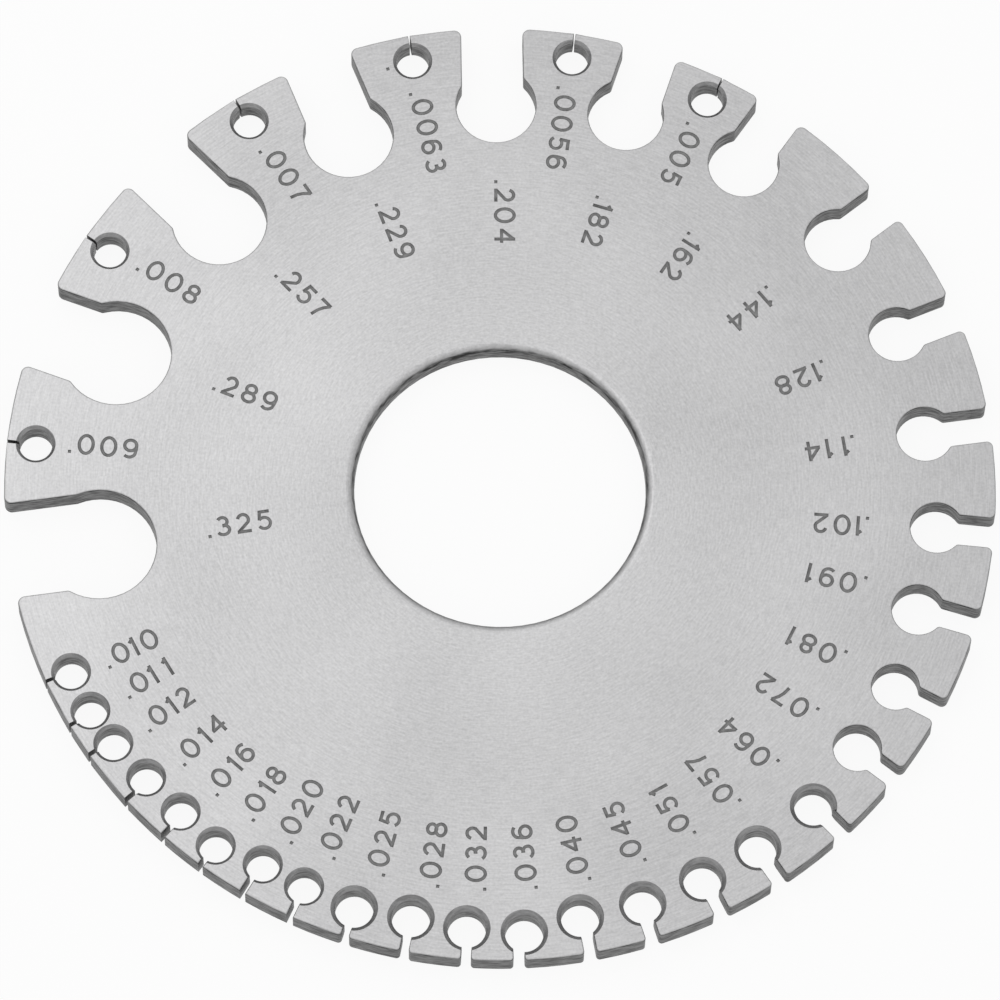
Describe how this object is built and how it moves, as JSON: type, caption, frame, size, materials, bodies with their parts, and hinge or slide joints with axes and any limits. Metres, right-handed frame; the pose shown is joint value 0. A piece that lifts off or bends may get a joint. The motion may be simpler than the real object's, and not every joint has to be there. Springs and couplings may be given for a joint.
{
  "type": "wire gauge plate",
  "caption": "Flat round steel wire gauge with keyhole slots of graded widths around its rim, decimal size numbers and a large plain hole in the middle.",
  "frame": {"origin": "centre of the middle hole, on the plate's lower face", "axes": "+Z along the middle hole's axis, out of the numbered face; -X towards the widest slots, -Y towards the narrow ones"},
  "size_m": [0.0826, 0.0825, 0.0024],
  "materials": {
    "ground_steel": "satin, finely ground, with darker bare slot walls"
  },
  "bodies": {
    "root": {"gauge_plate": "ground_steel"}
  },
  "joints": []
}
